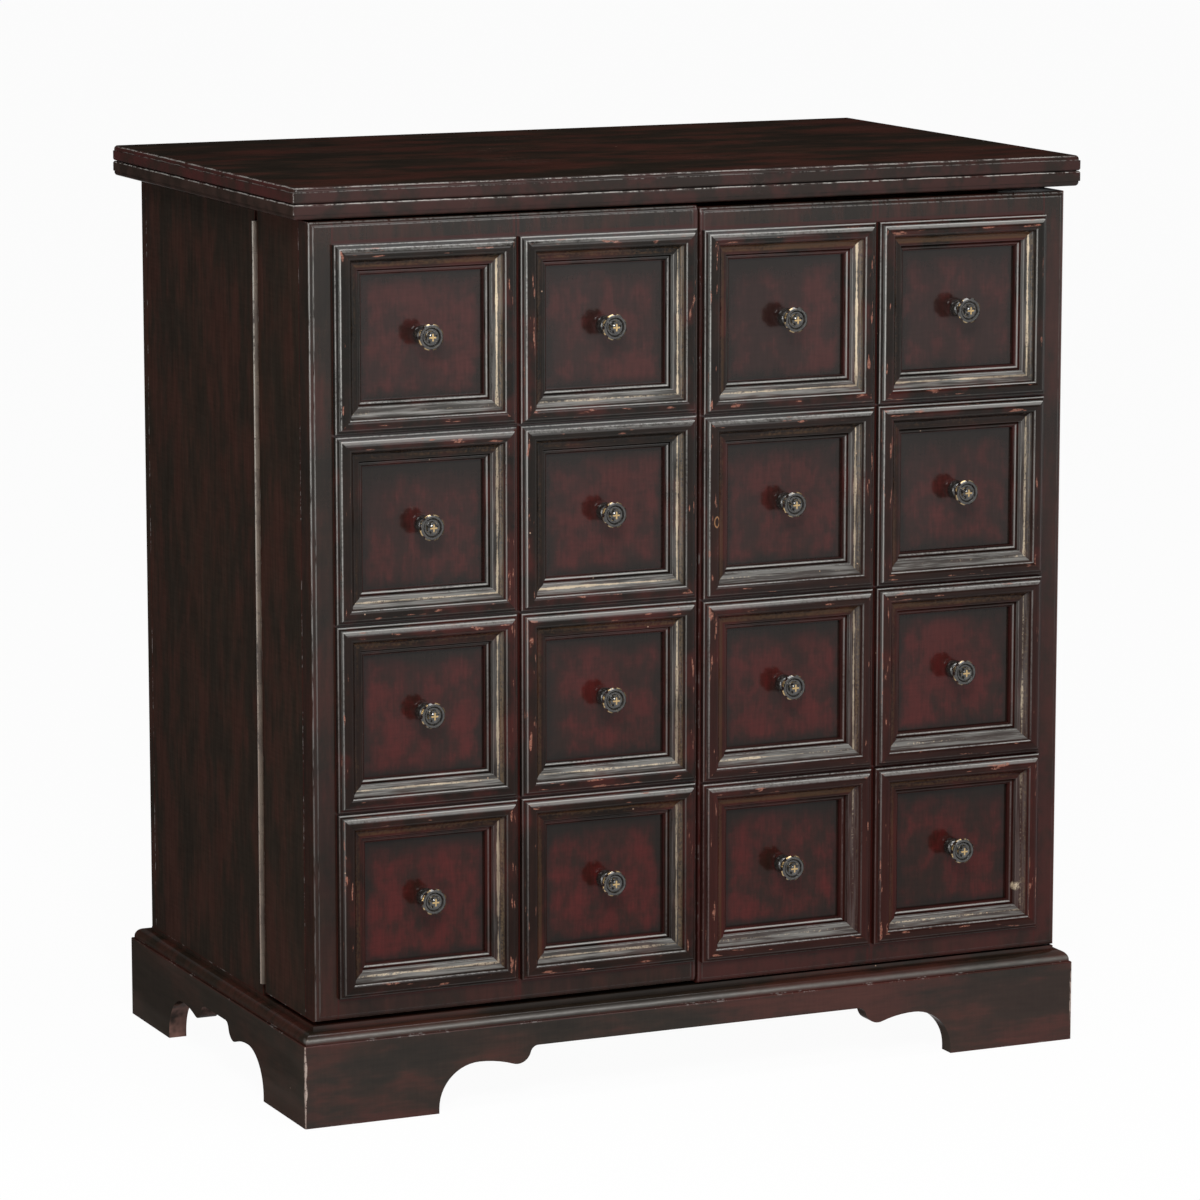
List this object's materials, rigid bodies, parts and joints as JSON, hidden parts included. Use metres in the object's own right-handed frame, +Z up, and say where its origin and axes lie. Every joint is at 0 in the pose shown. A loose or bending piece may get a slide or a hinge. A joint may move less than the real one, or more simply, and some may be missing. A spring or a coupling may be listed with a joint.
{
  "type": "bar cabinet",
  "caption": "Bar cabinet on bracket feet, with deep box doors faced with moulded panels and round knobs, side hinges along the doors, and a top leaf that folds over to the back.",
  "frame": {"origin": "on the floor, under the middle of the closed cabinet's box", "axes": "+X to the cabinet's right as seen from the front, +Y from the front to the back, +Z up"},
  "size_m": [0.993, 0.623, 1.067],
  "materials": {
    "top_finish": "antique black over deep red, rubbed back, satin to semi-gloss",
    "door_finish": "antique black over deep red, worn through in patches, satin",
    "moulding_finish": "antique black over deep red with pale rubbed edges, satin",
    "case_finish": "antique black over deep red, satin",
    "plinth_finish": "antique black over deep red with pale worn corners, satin",
    "inside_finish": "dark red-brown stain, satin",
    "bare_wood": "unfinished softwood",
    "hinge_metal": "aged brass plate, matt",
    "knob_metal": "blackened casting with rubbed brass high spots",
    "pin_steel": "plain steel",
    "catch_plastic": "brown moulded case",
    "glide_plastic": "matt grey"
  },
  "bodies": {
    "cabinet": {"plinth_front": "plinth_finish", "plinth_left_side": "plinth_finish", "plinth_right_side": "plinth_finish", "plinth_back_rail": "plinth_finish", "base_deck": "plinth_finish", "corner_blocks": "bare_wood", "floor_glides": "glide_plastic", "case_left_side": "case_finish", "case_right_side": "case_finish", "case_bottom": "inside_finish", "case_top": "inside_finish", "case_back": "inside_finish", "lower_shelf": "inside_finish", "upper_shelf": "inside_finish", "bottle_dividers": "inside_finish", "glass_rack_webs": "inside_finish", "glass_rack_strips": "inside_finish", "fixed_top": "top_finish", "lid_hinge_lower_leaves": "hinge_metal", "left_hinge_case_leaf": "hinge_metal", "right_hinge_case_leaf": "hinge_metal", "lid_hinge_pins": "pin_steel", "door_hinge_pins": "pin_steel", "magnetic_catches": "catch_plastic"},
    "top_leaf": {"flip_top": "top_finish", "lid_hinge_upper_leaves": "hinge_metal"},
    "left_door": {"left_door_front": "door_finish", "left_door_side": "door_finish", "left_door_stile": "inside_finish", "left_door_ends": "inside_finish", "left_door_shelves": "inside_finish", "left_door_rails": "inside_finish", "left_frame_row1_inner": "moulding_finish", "left_frame_row1_outer": "moulding_finish", "left_frame_row2_inner": "moulding_finish", "left_frame_row2_outer": "moulding_finish", "left_frame_row3_inner": "moulding_finish", "left_frame_row3_outer": "moulding_finish", "left_frame_row4_inner": "moulding_finish", "left_frame_row4_outer": "moulding_finish", "left_door_knobs": "knob_metal", "left_hinge_door_leaf": "hinge_metal", "left_door_strike": "pin_steel"},
    "right_door": {"right_door_front": "door_finish", "right_door_side": "door_finish", "right_door_stile": "inside_finish", "right_door_ends": "inside_finish", "right_door_shelves": "inside_finish", "right_door_rails": "inside_finish", "right_frame_row1_inner": "moulding_finish", "right_frame_row1_outer": "moulding_finish", "right_frame_row2_inner": "moulding_finish", "right_frame_row2_outer": "moulding_finish", "right_frame_row3_inner": "moulding_finish", "right_frame_row3_outer": "moulding_finish", "right_frame_row4_inner": "moulding_finish", "right_frame_row4_outer": "moulding_finish", "right_door_knobs": "knob_metal", "right_hinge_door_leaf": "hinge_metal", "right_door_strike": "pin_steel"}
  },
  "joints": [
    {"name": "left_door_swing", "type": "hinge", "parent": "cabinet", "child": "left_door", "pos_m": [-0.4785, -0.124, 0.57375], "axis": [0, 0, -1], "range_deg": [0, 175]},
    {"name": "right_door_swing", "type": "hinge", "parent": "cabinet", "child": "right_door", "pos_m": [0.4785, -0.124, 0.57375], "axis": [0, 0, 1], "range_deg": [0, 175]},
    {"name": "top_leaf_fold", "type": "hinge", "parent": "cabinet", "child": "top_leaf", "pos_m": [0, 0.3085, 1.049], "axis": [-1, 0, 0], "range_deg": [0, 180]}
  ]
}
